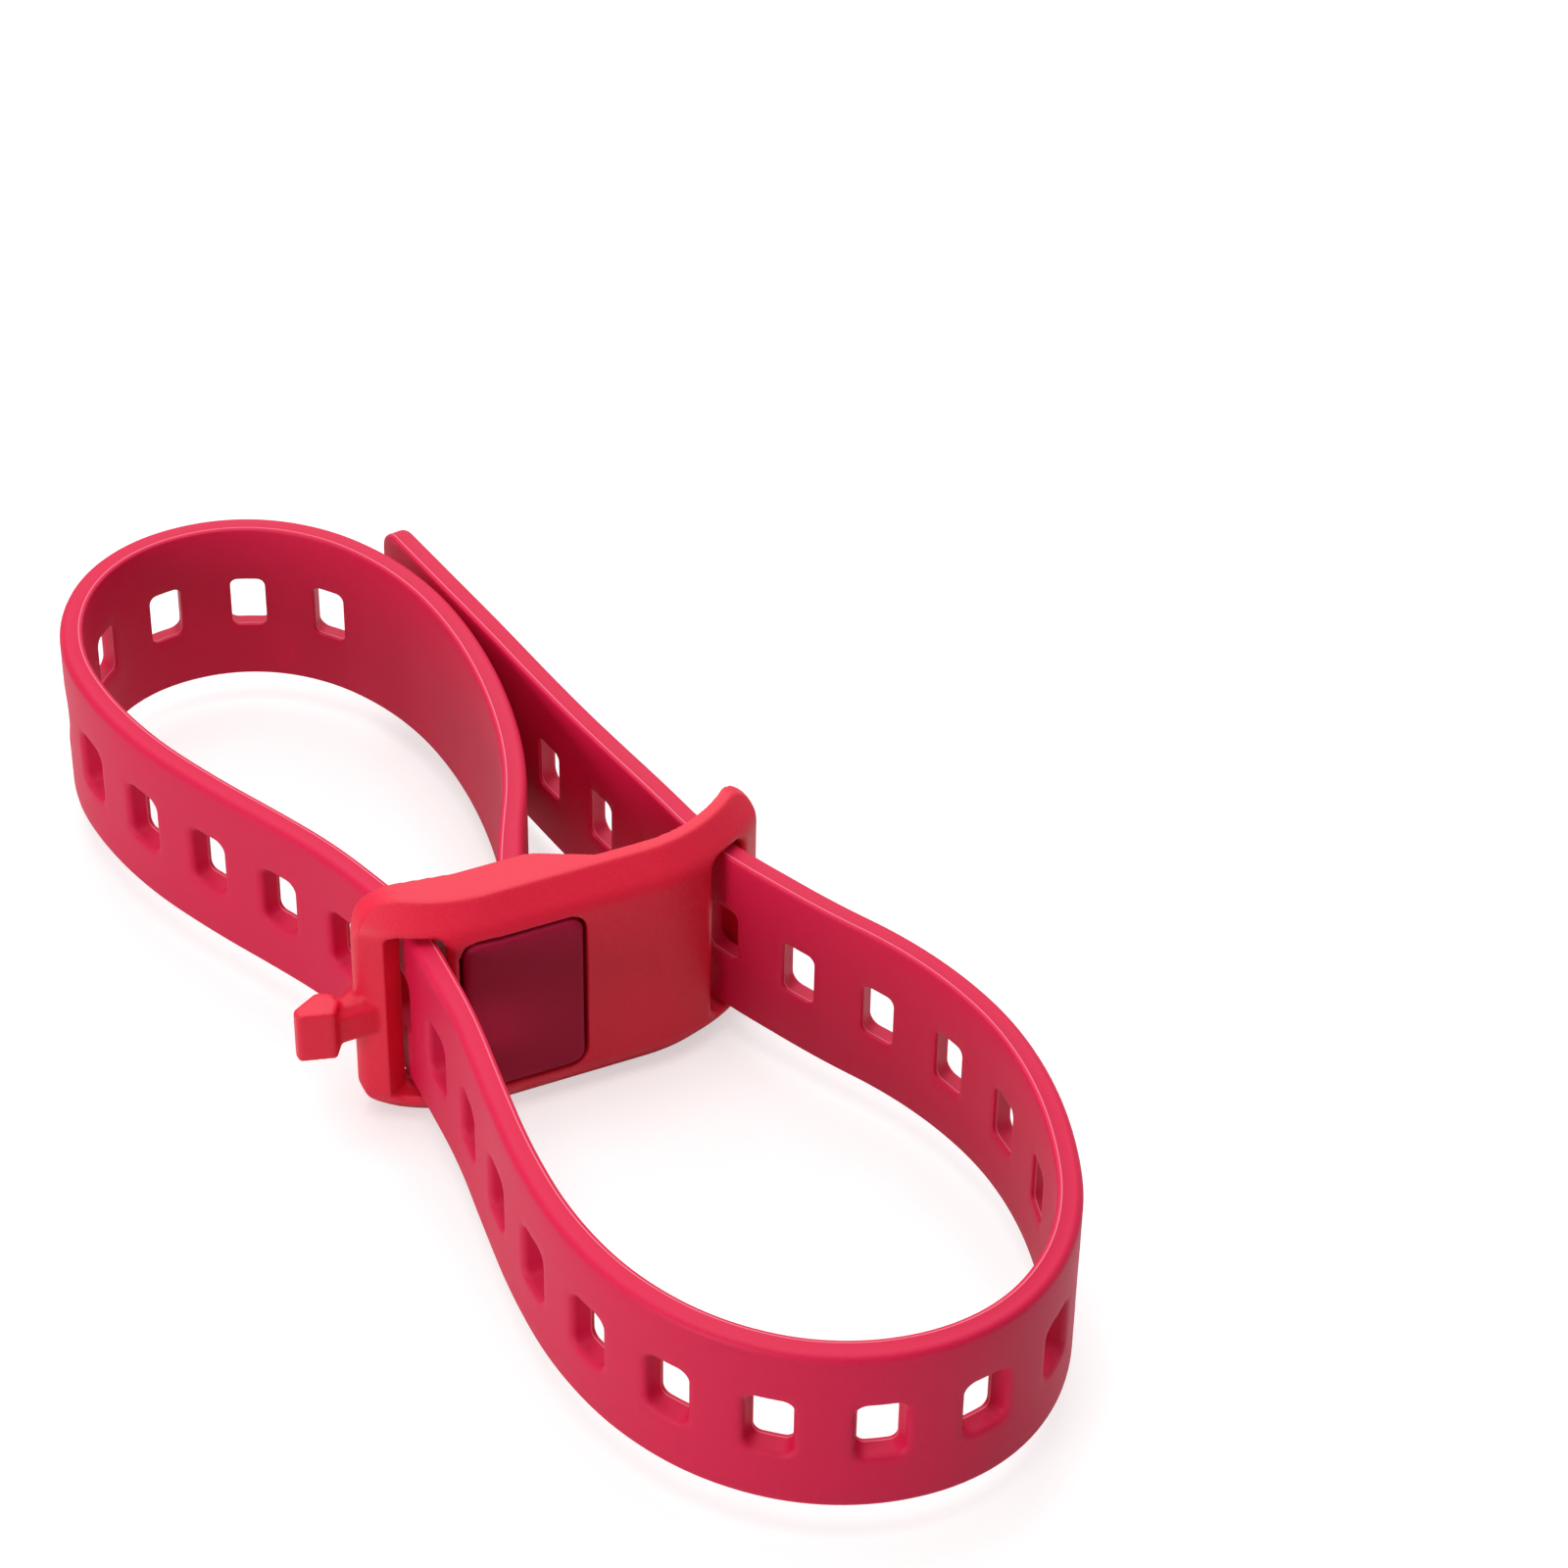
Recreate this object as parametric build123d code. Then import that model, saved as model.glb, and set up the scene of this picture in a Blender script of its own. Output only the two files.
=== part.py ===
"""Luggage strap: one elastic hook strap threaded through a rigid buckle plate.

Millimetres, +Z up. The plate stands on the floor with its front towards -Y; the origin is on its
underside, midway between its ends. The strap stands on its edge and follows a plan route: out of
the moulded head, round the small loop, forwards through the left slot, round the large loop,
backwards through the right slot, and on as a free tail.
"""
from build123d import *
import math
import os

# strap section and perforations
STRAP_WIDTH = 20.0
STRAP_THICKNESS = 2.5
OUTER_EDGE_CHAMFER = 0.6
HOLE_PITCH = 10.0
HOLE_LENGTH = 4.1
HOLE_WIDTH = 6.4
HOLE_CORNER = 0.7
HOLE_DRAFT = 10.0
HOLE_COUNT = 33
TIP_CORNER = 2.5

# buckle plate: a wall bowed towards the front, with rounded ends
PLATE_HEIGHT = 28.0
LEFT_CORNER = 5.0
RIGHT_CORNER = 3.2
WALL = 3.8
FACE_Y = -4.2
FLAT_HALF = 8.2
FACE_RADIUS = 19.5
LEFT_END_ANGLE = 41.0
RIGHT_END_ANGLE = 43.5
BEVEL_DEPTH = 2.4
BEVEL_HEIGHT = 3.0
FACE_BLEND = 3.0
CREASE_ROUND = 0.3

# boss behind the head, thickening the left half of the plate
BOSS_BACK_Y = 2.5
BOSS_CREST_RIGHT = -2.6
BOSS_FOOT_RIGHT = 3.6
BOSS_CREST_LEFT = -10.4
BOSS_FOOT_LEFT = (-19.9, 3.9)

# slots, as Y, inner wall X and outer wall X from front to back; the strap passes between the walls
SLOT_ROOM = 0.7
SLOT_CORNER = 1.2
SLOT_EDGE_CHAMFER = 0.5
LEFT_SLOT = [(-4.0, -13.5, -21.4), (0.9, -13.5, -17.0), (6.0, -13.5, -19.0)]
RIGHT_SLOT = [(-7.0, 15.3, 22.1), (4.7, 15.3, 17.8)]

# strap head and the seat it is moulded to fit
HEAD_X = -5.7
HEAD_LENGTH = 12.6
HEAD_HEIGHT = 19.4
HEAD_DEPTH = 2.6
HEAD_CORNER = 1.6
HEAD_PROUD = 0.2
HEAD_EDGE = 0.5
SEAT_GAP = 0.35
NECK_THICKNESS = 3.1
NECK_TAPER = 12.0
NECK_GAP = 0.3
NECK_EXIT = (-4.5, 2.5)
NECK_HEADING = 70.0

# T-shaped hook on the left end: plan outlines of its stem and its head
STEM_OUTLINE = [(-18.6, -0.3), (-25.0, -0.4), (-25.0, 2.1), (-23.2, 2.7), (-20.4, 4.7), (-18.6, 3.9)]
STEM_HEIGHT = 4.8
STEM_CHAMFER = 0.85
HOOK_OUTLINE = [(-28.4, 0.1), (-24.7, -0.9), (-23.6, 0.8), (-24.0, 2.4), (-25.5, 2.9), (-28.4, 1.3)]
HOOK_HEIGHT = 6.2
HOOK_EDGE = 0.35

# elastic bend of the tail behind the right slot, halfway between two holes
LAST_HOLE_BEFORE_BEND = 28
SLOT_STRETCH = 1.3
NOSE_RADIUS = STRAP_THICKNESS / 2 - 0.1
BEND_GAP = 0.3

# stations of the strap's centre line: X, Y and heading in degrees
LEFT_SLOT_PASS = (-15.4, 0.6, 276.0)
RIGHT_SLOT_PASS = (18.1, -0.9, 112.0)
SMALL_LOOP = [
    (4.5, 26.0, 78.0),
    (6.1, 40.9, 90.0),
    (3.9, 55.6, 109.0),
    (-4.4, 67.9, 142.0),
    (-13.5, 71.7, 173.0),
    (-23.3, 70.2, 206.0),
    (-32.3, 58.8, 255.0),
    (-32.0, 43.9, 283.0),
    (-24.5, 25.5, 298.0),
    (-18.2, 11.9, 289.0),
]
LARGE_LOOP = [
    (-16.1, -17.8, 263.5),
    (-17.5, -37.7, 271.0),
    (-12.5, -56.8, 300.6),
    (2.8, -69.0, 344.0),
    (12.7, -69.6, 10.0),
    (25.0, -61.8, 53.0),
    (30.85, -48.1, 77.0),
    (32.0, -38.2, 90.0),
    (29.1, -23.5, 111.0),
    (21.9, -9.2, 115.5),
]
TAIL_BEND = (14.37, 14.85, 101.7)
TAIL = [(11.8, 28.2, 99.5), (8.7, 48.0, 99.5), (6.06, 64.1, 99.0)]

MID_Z = PLATE_HEIGHT / 2


def unit(angle):
    """Plan direction of a heading in degrees."""
    return Vector(math.cos(math.radians(angle)), math.sin(math.radians(angle)))


def biarc(start, end):
    """Two tangent arcs between two stations, meeting where both leave the same length."""
    p, q = Vector(*start[:2]), Vector(*end[:2])
    t, u = unit(start[2]), unit(end[2])
    v = q - p
    w = t + u
    a, b, c = 2 * (1 - t.dot(u)), 2 * v.dot(w), v.dot(v)
    reach = c / b if a < 1e-6 else (-b + math.sqrt(b * b + 4 * a * c)) / (2 * a)
    joint = (p + q + (t - u) * reach) * 0.5
    middle = (q - u * reach) - (p + t * reach)
    return [TangentArc(p, joint, tangent=t), TangentArc(joint, q, tangent=middle)]


def neck_start():
    """Where the straight neck leaves the middle of the head."""
    length = BOSS_BACK_Y - FACE_Y - HEAD_DEPTH / 2
    return Vector(*NECK_EXIT) - unit(NECK_HEADING) * length


def route(stations, lead=()):
    """A centre line at mid-width: any lead-in lines, then arcs from station to station."""
    arcs = [arc for pair in zip(stations, stations[1:]) for arc in biarc(*pair)]
    return Wire([*lead, *arcs]).moved(Location((0, 0, MID_Z)))


def strap_route():
    """From the head, round both loops and through both slots, to the tail's bend."""
    stations = [(*NECK_EXIT, NECK_HEADING), *SMALL_LOOP, LEFT_SLOT_PASS, *LARGE_LOOP]
    stations += [RIGHT_SLOT_PASS, TAIL_BEND]
    return route(stations, [Line(neck_start(), NECK_EXIT)])


def plan_at(wire, distance):
    """Point, forward direction and sideways direction on a route at a distance along it."""
    share = min(max(distance / wire.length, 0), 1)
    forward = wire.tangent_at(share)
    return wire.position_at(share), forward, Vector(forward.Y, -forward.X)


def ribbon(wire, thickness):
    """The strap's chamfered section swept along a route; its outer face is right of travel."""
    point, forward, side = plan_at(wire, 0)
    section = Rectangle(thickness, STRAP_WIDTH)
    outer = section.vertices().group_by(Axis.X)[-1]
    section = chamfer(outer, OUTER_EDGE_CHAMFER)
    plane = Plane(origin=point, x_dir=side, z_dir=forward)
    return sweep(plane * section, path=wire)


def bar(heading, place, length, depth, height):
    """A block lying along a heading from a plan point, centred across it and at mid-height."""
    block = Box(length, depth, height, align=(Align.MIN, Align.CENTER, Align.CENTER))
    return Pos(place.X, place.Y, MID_Z) * Rot(0, 0, heading) * block


def prism_along_y(outline, front, back):
    """A block with an outline as seen from the front, at mid-height, between two Y values."""
    face = Plane((0, back, MID_Z), x_dir=(1, 0, 0), z_dir=(0, -1, 0)) * outline
    return extrude(face, back - front)


def plate_outline():
    """The plate's outline as seen from the front, with bigger corners at the hook's end."""
    left, right = wall_end(-1)[0] - WALL / 2, wall_end(1)[0] + WALL / 2
    outline = Pos((left + right) / 2) * Rectangle(right - left, PLATE_HEIGHT)
    outline = fillet(outline.vertices().group_by(Axis.X)[0], LEFT_CORNER)
    return fillet(outline.vertices().group_by(Axis.X)[-1], RIGHT_CORNER)


def bowed_path(inset, left_angle, right_angle):
    """The plate's plan curve, set back from its front face: flat in the middle, curling back."""
    radius = FACE_RADIUS - inset
    centre_y = FACE_Y + FACE_RADIUS
    middle = Line((-FLAT_HALF, FACE_Y + inset), (FLAT_HALF, FACE_Y + inset))
    right = CenterArc((FLAT_HALF, centre_y), radius, -90, right_angle)
    left = CenterArc((-FLAT_HALF, centre_y), radius, -90 - left_angle, left_angle)
    return Wire([left, middle, right])


def bowed_form(proud, bevel):
    """Everything behind the plate's bowed front, with the bevels along its top and bottom."""
    half, deep, past_ends = PLATE_HEIGHT / 2, 12.0, 20.0
    path = bowed_path(0, LEFT_END_ANGLE + past_ends, RIGHT_END_ANGLE + past_ends)
    path = path.moved(Location((0, 0, MID_Z)))
    forward = path.tangent_at(0)
    corners = [(proud, -half + BEVEL_HEIGHT), (proud, half - BEVEL_HEIGHT)]
    if bevel:
        corners = [(-BEVEL_DEPTH, -half)] + corners + [(-BEVEL_DEPTH, half)]
    section = make_face(Polyline(*corners, (-deep, corners[-1][1]), (-deep, corners[0][1]), close=True))
    if bevel:
        rims = [v for v in section.vertices() if abs(v.X - proud) < 0.01]
        section = fillet(rims, FACE_BLEND)
        creases = [v for v in section.vertices() if abs(v.X + BEVEL_DEPTH) < 0.01]
        section = fillet(creases, CREASE_ROUND)
    plane = Plane(origin=path.position_at(0), x_dir=(forward.Y, -forward.X, 0), z_dir=forward)
    return sweep(plane * section, path=path)


def wall_end(side):
    """Plan centre of the rounded end of the plate's wall, on the left (-1) or the right (1)."""
    angle = math.radians(RIGHT_END_ANGLE if side > 0 else LEFT_END_ANGLE)
    radius = FACE_RADIUS - WALL / 2
    x = FLAT_HALF + radius * math.sin(angle)
    return side * x, FACE_Y + FACE_RADIUS - radius * math.cos(angle)


def plate_plan():
    """The plate seen from above: a bowed wall with round ends, and the boss behind its left half."""
    over = 1.0
    middle = bowed_path((WALL - over) / 2, LEFT_END_ANGLE, RIGHT_END_ANGLE)
    wall = trace(middle.edges(), line_width=WALL + over)
    thin_back = FACE_Y + WALL
    boss = make_face(
        Polyline(
            (BOSS_FOOT_RIGHT, thin_back),
            (BOSS_CREST_RIGHT, BOSS_BACK_Y),
            (BOSS_CREST_LEFT, BOSS_BACK_Y),
            BOSS_FOOT_LEFT,
            (-FLAT_HALF, FACE_Y + 1),
            (BOSS_FOOT_RIGHT, FACE_Y + 1),
            close=True,
        )
    )
    boss = fillet([v for v in boss.vertices() if v.Y > BOSS_BACK_Y - 0.1 and v.X > -12], 4.0)
    ends = [Pos(*wall_end(side)) * Circle(WALL / 2) for side in (-1, 1)]
    return (wall + boss + ends[0] + ends[1]).face()


def slot_cut(stations):
    """A round-cornered slot through the plate, its walls straight from station to station."""
    height = STRAP_WIDTH + 2 * SLOT_ROOM
    sections = []
    for y, inner_x, outer_x in stations:
        plane = Plane(((inner_x + outer_x) / 2, y, MID_Z), x_dir=(1, 0, 0), z_dir=(0, -1, 0))
        sections.append(plane * RectangleRounded(abs(outer_x - inner_x), height, SLOT_CORNER))
    return loft(sections, ruled=True)


def seat_cut(gap):
    """The head's seat, open to the front, grown by a gap all round except at its floor."""
    outline = RectangleRounded(HEAD_LENGTH + 2 * gap, HEAD_HEIGHT + 2 * gap, HEAD_CORNER + gap)
    return prism_along_y(Pos(HEAD_X) * outline, FACE_Y - WALL, FACE_Y + HEAD_DEPTH)


def block_from(outline, height):
    """An upright block with a plan outline, centred at mid-height."""
    return Pos(0, 0, MID_Z - height / 2) * extrude(make_face(Polyline(*outline, close=True)), height)


def make_hook():
    """Stem and T-shaped head that hook into one of the strap's holes."""
    stem = block_from(STEM_OUTLINE, STEM_HEIGHT)
    rims = stem.edges().filter_by(Axis.Z, reverse=True)
    stem = chamfer(rims.filter_by(lambda e: abs(e.tangent_at(0.5).X) > 0.5), STEM_CHAMFER)
    head = block_from(HOOK_OUTLINE, HOOK_HEIGHT)
    return stem + fillet(head.edges(), HOOK_EDGE)


def make_plate():
    """The rigid buckle plate with its hook, boss, slots and the seat for the strap's head."""
    plate = Pos(0, 0, -1) * extrude(plate_plan(), PLATE_HEIGHT + 2, dir=(0, 0, 1))
    plate = plate & bowed_form(0, True)
    plate = plate & prism_along_y(plate_outline(), -PLATE_HEIGHT, PLATE_HEIGHT)
    for stations in (LEFT_SLOT, RIGHT_SLOT):
        cut = slot_cut(stations)
        plate = plate - cut
        plate = chamfer(slot_rims(plate, cut, stations), SLOT_EDGE_CHAMFER)
    width, height = NECK_THICKNESS + 2 * NECK_GAP, STRAP_WIDTH + 2 * NECK_GAP
    window = bar(NECK_HEADING, neck_start(), 2 * HEAD_LENGTH, width, height)
    return plate - seat_cut(SEAT_GAP) - window + make_hook()


def slot_rims(plate, cut, stations):
    """The edges of a slot's openings on the front and the back of the plate."""
    rims = []
    for edge in plate.edges():
        middle = edge.position_at(0.5)
        through = abs(edge.tangent_at(0.5).Y) > 0.7
        on_station = any(abs(middle.Y - y) < 0.05 for y, *_ in stations)
        if not through and not on_station and cut.distance_to(middle) < 0.01:
            rims.append(edge)
    return rims


def make_head():
    """The strap's thick moulded head, its front bowed like the plate and slightly proud."""
    block = seat_cut(0) & bowed_form(HEAD_PROUD, False)
    rim = block.edges().filter_by(lambda e: e.position_at(0.5).Y < FACE_Y + 1.0)
    return fillet(rim, HEAD_EDGE)


def hole_cut(wire, distance):
    """One perforation square to the route, widening towards the strap's outer face."""
    point, forward, side = plan_at(wire, distance)
    over = STRAP_THICKNESS / 4
    plane = Plane(origin=point - side * (STRAP_THICKNESS / 2 + over), x_dir=forward, z_dir=side)
    outline = Rectangle(HOLE_LENGTH, HOLE_WIDTH)
    outline = chamfer(outline.vertices(), HOLE_CORNER)
    return extrude(plane * outline, STRAP_THICKNESS + 2 * over, taper=-HOLE_DRAFT)


def thick_neck(wire):
    """The strap's root, thicker than the rest and tapering down to it behind the plate."""
    edges = {1: [], -1: []}
    straight = BOSS_BACK_Y - FACE_Y - HEAD_DEPTH / 2
    for distance in (0, straight, straight + NECK_TAPER / 2, straight + NECK_TAPER):
        point, _, side = plan_at(wire, distance)
        taper = max(distance - straight, 0) / NECK_TAPER
        thickness = NECK_THICKNESS + (STRAP_THICKNESS - NECK_THICKNESS) * taper
        for way in edges:
            edge = point + side * (way * thickness / 2)
            edges[way].append((edge.X, edge.Y))
    face = make_face(Polyline(*edges[1], *reversed(edges[-1]), close=True))
    height = STRAP_WIDTH - 2 * OUTER_EDGE_CHAMFER
    return Pos(0, 0, MID_Z - height / 2) * extrude(face, height, dir=(0, 0, 1))


def round_at(place, radius):
    """An upright round bar as tall as the strap is wide."""
    return Pos(place[0], place[1], MID_Z) * Cylinder(radius, STRAP_WIDTH)


def make_strap():
    """Head, neck, both loops and the stretch through the right slot, ending in a round nose."""
    wire = strap_route()
    strap = ribbon(wire, STRAP_THICKNESS) + thick_neck(wire)
    for number in range(LAST_HOLE_BEFORE_BEND + 1):
        from_bend = (LAST_HOLE_BEFORE_BEND - number + 0.5) * HOLE_PITCH
        if number < LAST_HOLE_BEFORE_BEND:
            from_bend += SLOT_STRETCH
        strap = strap - hole_cut(wire, wire.length - from_bend)
    return strap + round_at(TAIL_BEND, NOSE_RADIUS) + make_head()


def make_tail():
    """The free tail, hollowed at its start to turn round the strap's nose."""
    wire = route([TAIL_BEND, *TAIL])
    tail = ribbon(wire, STRAP_THICKNESS)
    for number in range(HOLE_COUNT - LAST_HOLE_BEFORE_BEND - 1):
        tail = tail - hole_cut(wire, (number + 0.5) * HOLE_PITCH)
    tip, forward, side = plan_at(wire, wire.length)
    plane = Plane(origin=tip - side * STRAP_THICKNESS, x_dir=forward, z_dir=side)
    kept = Pos(-STRAP_WIDTH / 2, 0) * RectangleRounded(STRAP_WIDTH, STRAP_WIDTH, TIP_CORNER)
    corners = Rectangle(2 * TIP_CORNER, STRAP_WIDTH + 2) - kept
    tail = tail - extrude(plane * corners, 2 * STRAP_THICKNESS)
    return tail - round_at(TAIL_BEND, NOSE_RADIUS + BEND_GAP)


if __name__ == "__main__":
    os.makedirs("parts", exist_ok=True)
    nodes = {"buckle_plate": make_plate(), "strap": make_strap(), "strap_tail": make_tail()}
    for name, part in nodes.items():
        export_step(part, f"parts/{name}.step")
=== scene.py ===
"""Luggage strap: a perforated elastic strap threaded through a hooked buckle plate.

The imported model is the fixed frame. The plate is a softened copy of its solid, and the strap's
band and tail are bent from repeated cells along the same centre line that the solids follow.
"""
import math

import bmesh
import bpy
from bpy.props import FloatProperty, FloatVectorProperty, IntProperty, PointerProperty
from mathutils import Matrix, Vector


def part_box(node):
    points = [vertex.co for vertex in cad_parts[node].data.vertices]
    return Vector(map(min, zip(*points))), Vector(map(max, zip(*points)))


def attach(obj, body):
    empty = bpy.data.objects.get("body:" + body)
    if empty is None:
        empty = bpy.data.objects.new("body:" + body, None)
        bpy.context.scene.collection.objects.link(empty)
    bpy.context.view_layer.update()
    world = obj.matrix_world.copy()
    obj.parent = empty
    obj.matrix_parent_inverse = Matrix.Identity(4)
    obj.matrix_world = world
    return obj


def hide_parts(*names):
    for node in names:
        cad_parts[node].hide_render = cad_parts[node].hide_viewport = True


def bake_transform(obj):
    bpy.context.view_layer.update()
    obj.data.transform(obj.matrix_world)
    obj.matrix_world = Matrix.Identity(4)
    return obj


bl_info = {
    "name": "Luggage strap",
    "version": (1, 0, 0),
    "blender": (4, 5, 0),
    "location": "View3D > Sidebar > Luggage strap",
    "description": "Builds a perforated elastic strap, its hooked buckle plate and a studio stage",
    "category": "Object",
}

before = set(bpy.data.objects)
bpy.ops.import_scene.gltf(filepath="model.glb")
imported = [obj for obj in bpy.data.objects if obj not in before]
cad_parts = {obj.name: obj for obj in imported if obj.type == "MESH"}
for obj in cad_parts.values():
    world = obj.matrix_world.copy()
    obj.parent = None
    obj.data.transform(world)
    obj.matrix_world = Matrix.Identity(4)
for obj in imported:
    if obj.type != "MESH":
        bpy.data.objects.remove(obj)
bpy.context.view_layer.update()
STRAP_LOW, STRAP_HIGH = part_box("strap")
MM = 0.001
MID_Z = (STRAP_LOW.z + STRAP_HIGH.z) / 2
HALF_WIDTH = (STRAP_HIGH.z - STRAP_LOW.z) / 2

# the strap's centre line in millimetres and degrees, as the solids have it, but straighter
# where it leaves the left slot
NECK_START = (-6.35, -2.58)
STRAP_STATIONS = [
    (-4.5, 2.5, 70.0),
    (4.5, 26.0, 78.0),
    (6.1, 40.9, 90.0),
    (3.9, 55.6, 109.0),
    (-4.4, 67.9, 142.0),
    (-13.5, 71.7, 173.0),
    (-23.3, 70.2, 206.0),
    (-32.3, 58.8, 255.0),
    (-32.0, 43.9, 283.0),
    (-24.5, 25.5, 298.0),
    (-18.2, 11.9, 289.0),
    (-15.5, 0.6, 270.0),
    (-16.1, -17.8, 263.5),
    (-17.5, -37.7, 271.0),
    (-12.5, -56.8, 300.6),
    (2.8, -69.0, 344.0),
    (12.7, -69.6, 10.0),
    (25.0, -61.8, 53.0),
    (30.85, -48.1, 77.0),
    (32.0, -38.2, 90.0),
    (29.1, -23.5, 111.0),
    (21.9, -9.2, 115.5),
    (18.1, -0.9, 112.0),
    (14.37, 14.85, 101.7),
]
TAIL_STATIONS = [(11.8, 28.2, 99.5), (8.7, 48.0, 99.5), (6.06, 64.1, 99.0)]
HOLE_COUNT = 33
LAST_HOLE_BEFORE_BEND = 28
# the tail's run starts halfway between two holes, where the strap is stretched in the right slot
RUN_START = LAST_HOLE_BEFORE_BEND - 0.5
SLOT_STRETCH = 1.3 * MM
# where the bend starts and ends, in pitches from the last hole before it
BEND_REACH = (-0.2, 1.2)
# longest step, in millimetres, between two points of the centre line
LINE_STEP = 0.5
# a turn too small to have a useful centre
NO_TURN = 1e-5


# ---------------------------------------------------------------- values a user would change

class StrapSizes(bpy.types.PropertyGroup):
    """Section, perforations and colour of the strap."""

    thickness: FloatProperty(
        name="Thickness", description="Strap thickness", default=0.0025, unit="LENGTH"
    )
    outer_round: FloatProperty(
        name="Outer edge", description="Rounding along the outer face", default=0.0008, unit="LENGTH"
    )
    inner_round: FloatProperty(
        name="Inner edge", description="Rounding along the inner face", default=0.0003, unit="LENGTH"
    )
    pitch: FloatProperty(
        name="Hole pitch", description="Distance between holes", default=0.01, unit="LENGTH"
    )
    hole_length: FloatProperty(
        name="Hole length", description="Hole size along the strap", default=0.0041, unit="LENGTH"
    )
    hole_width: FloatProperty(
        name="Hole width", description="Hole size across the strap", default=0.0064, unit="LENGTH"
    )
    hole_corner: FloatProperty(
        name="Hole corner", description="Corner radius of a hole", default=0.0009, unit="LENGTH"
    )
    hole_rim: FloatProperty(
        name="Hole rim", description="Rounding of a hole on the outer face", default=0.0007,
        unit="LENGTH",
    )
    hole_draft: FloatProperty(
        name="Hole draft", description="Widening of a hole towards the outer face", default=0.0002,
        unit="LENGTH",
    )
    parting_line: FloatProperty(
        name="Parting line", description="Height of the mould line", default=0.00005, unit="LENGTH"
    )
    neck_growth: FloatProperty(
        name="Neck growth", description="Extra thickness at the root, as a share", default=0.24
    )
    neck_length: FloatProperty(
        name="Neck length", description="How far the extra thickness reaches", default=0.016,
        unit="LENGTH",
    )
    tip_corner: FloatProperty(
        name="Tip corner", description="Corner radius of the tail's tip", default=0.0025, unit="LENGTH"
    )
    colour: FloatVectorProperty(
        name="Strap colour", description="Elastomer colour", subtype="COLOR",
        default=(0.660, 0.004, 0.057), min=0, max=1,
    )
    head_colour: FloatVectorProperty(
        name="Head colour", description="Colour of the thick head", subtype="COLOR",
        default=(0.370, 0.005, 0.044), min=0, max=1,
    )


class PlateSizes(bpy.types.PropertyGroup):
    """Finish of the buckle plate."""

    face_size: FloatProperty(
        name="Face size", description="Face size of the softened copy", default=0.00022, unit="LENGTH"
    )
    softening: IntProperty(
        name="Softening", description="How far moulded edges are rounded", default=3, min=0, max=20
    )
    colour: FloatVectorProperty(
        name="Plate colour", description="Moulded plastic colour", subtype="COLOR",
        default=(0.765, 0.010, 0.044), min=0, max=1,
    )


class StageSizes(bpy.types.PropertyGroup):
    """Camera and light."""

    focal: FloatProperty(name="Focal length", description="Camera lens in millimetres", default=107.5)
    key_power: FloatProperty(
        name="Key light", description="Power of the light overhead", default=3.5, unit="POWER"
    )
    back_power: FloatProperty(
        name="Back light", description="Power of the light behind the strap", default=2.2, unit="POWER"
    )
    fill_power: FloatProperty(
        name="Fill light", description="Power of the low light on the left", default=3.4, unit="POWER"
    )
    sky_low: FloatProperty(
        name="Sky, dim side", description="Strength of the sky away from the backdrop", default=0.17
    )
    sky_high: FloatProperty(
        name="Sky, backdrop side", description="Strength of the sky at the backdrop", default=0.8
    )


# ---------------------------------------------------------------- the strap's centre line

def heading(angle):
    """Unit vector in plan for a heading in degrees."""
    return Vector((math.cos(math.radians(angle)), math.sin(math.radians(angle))))


def arc_points(start, direction, end, spacing):
    """Points along the arc that leaves start in a direction and ends at end, without its start."""
    chord = end - start
    turn = 2 * math.atan2(direction.cross(chord), direction.dot(chord))
    if abs(turn) < NO_TURN:
        steps = max(2, math.ceil(chord.length / spacing))
        return [start + chord * (i / steps) for i in range(1, steps + 1)], direction
    radius = chord.length / (2 * math.sin(turn / 2))
    centre = start + Vector((-direction.y, direction.x)) * radius
    steps = max(2, math.ceil(abs(radius * turn) / spacing))
    arm = start - centre
    points = [centre + Matrix.Rotation(turn * i / steps, 2) @ arm for i in range(1, steps + 1)]
    return points, Matrix.Rotation(turn, 2) @ direction


def biarc_points(first, last, spacing):
    """The two tangent arcs between two stations, as points without the first."""
    p, q = Vector(first[:2]), Vector(last[:2])
    t, u = heading(first[2]), heading(last[2])
    v, w = q - p, t + u
    a, b, c = 2 * (1 - t.dot(u)), 2 * v.dot(w), v.dot(v)
    reach = c / b if a < NO_TURN else (-b + math.sqrt(b * b + 4 * a * c)) / (2 * a)
    joint = (p + q + (t - u) * reach) / 2
    near, middle = arc_points(p, t, joint, spacing)
    far, _ = arc_points(joint, middle, q, spacing)
    return near + far


def centre_line(stations, lead=()):
    """Points in metres along the route through the stations, after any lead-in points."""
    points = [*map(Vector, lead), Vector(stations[0][:2])]
    for pair in zip(stations, stations[1:]):
        points += biarc_points(*pair, LINE_STEP)
    return [Vector((p.x * MM, p.y * MM, MID_Z)) for p in points]


def length_of(points):
    """Length of a run of points."""
    return sum((b - a).length for a, b in zip(points, points[1:]))


def point_along(points, distance):
    """The point a distance along a run of points."""
    for a, b in zip(points, points[1:]):
        step = (b - a).length
        if distance <= step:
            return a + (b - a) * (distance / step)
        distance -= step
    return points[-1]


LINE_TO_BEND = centre_line(STRAP_STATIONS, [NECK_START])
LENGTH_TO_BEND = length_of(LINE_TO_BEND)
LINE = LINE_TO_BEND + centre_line([STRAP_STATIONS[-1], *TAIL_STATIONS])[1:]
LENGTH = length_of(LINE)


def hole_distance(number, pitch):
    """Distance along the centre line to a hole, or to a place between two holes."""
    stretch = SLOT_STRETCH if number <= RUN_START else 0.0
    return LENGTH_TO_BEND + (number - LAST_HOLE_BEFORE_BEND - 0.5) * pitch - stretch


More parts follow.
